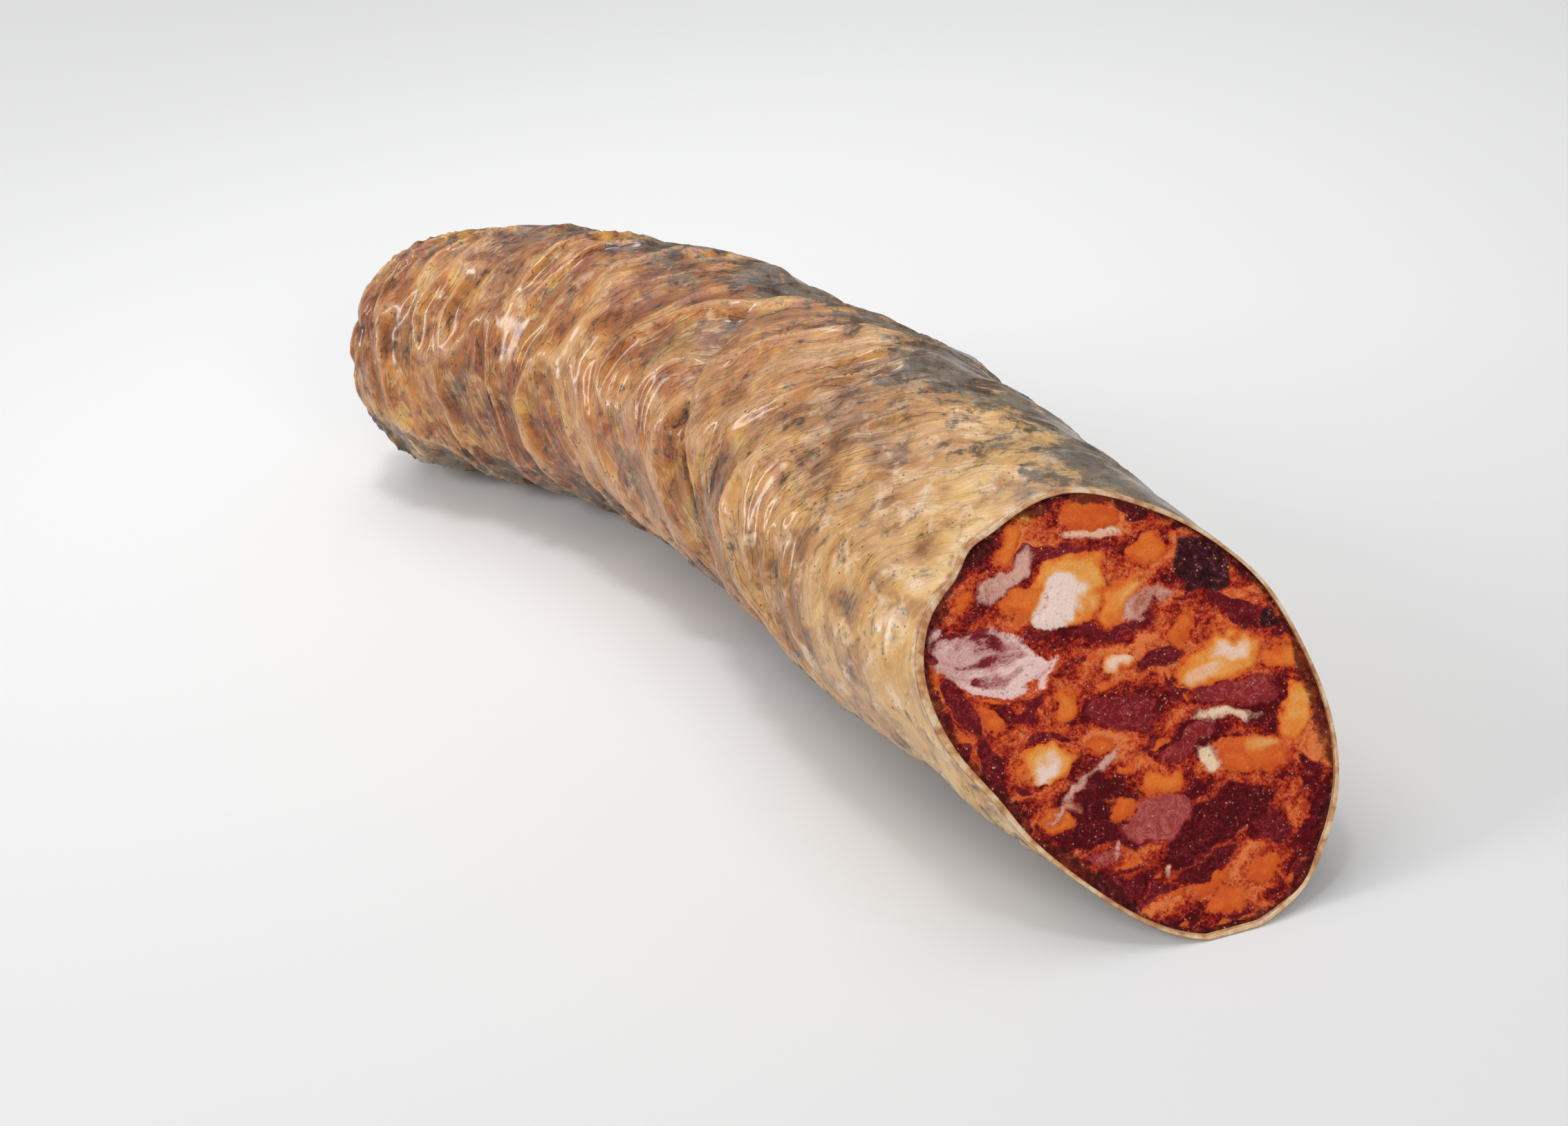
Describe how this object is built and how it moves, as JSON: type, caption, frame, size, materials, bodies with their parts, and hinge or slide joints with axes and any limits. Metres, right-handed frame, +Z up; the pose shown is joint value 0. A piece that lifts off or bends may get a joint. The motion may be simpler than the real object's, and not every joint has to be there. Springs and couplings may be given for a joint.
{
  "type": "cured sausage",
  "caption": "Curved length of dry-cured sausage in a natural gut casing, lying on its side, cut at a slant at one end to show coarse meat and fat, closed and rounded at the other.",
  "frame": {"origin": "centre of the outline seen from above, on the table that it lies on", "axes": "+Z up from the table; +Y along the length, from the cut end to the closed end; +X to the right of someone who looks along +Y at the cut end"},
  "size_m": [0.0674, 0.2305, 0.0481],
  "materials": {
    "dried_gut": "thin dried gut, translucent tan to rust brown with dark mould patches, satin sheen on the wrinkles",
    "cured_meat": "coarse cured meat and fat cut with a knife, orange paprika paste, dark red lean and pale fat, moist and grainy"
  },
  "bodies": {
    "root": {"casing": "dried_gut", "filling": "cured_meat"}
  },
  "joints": []
}
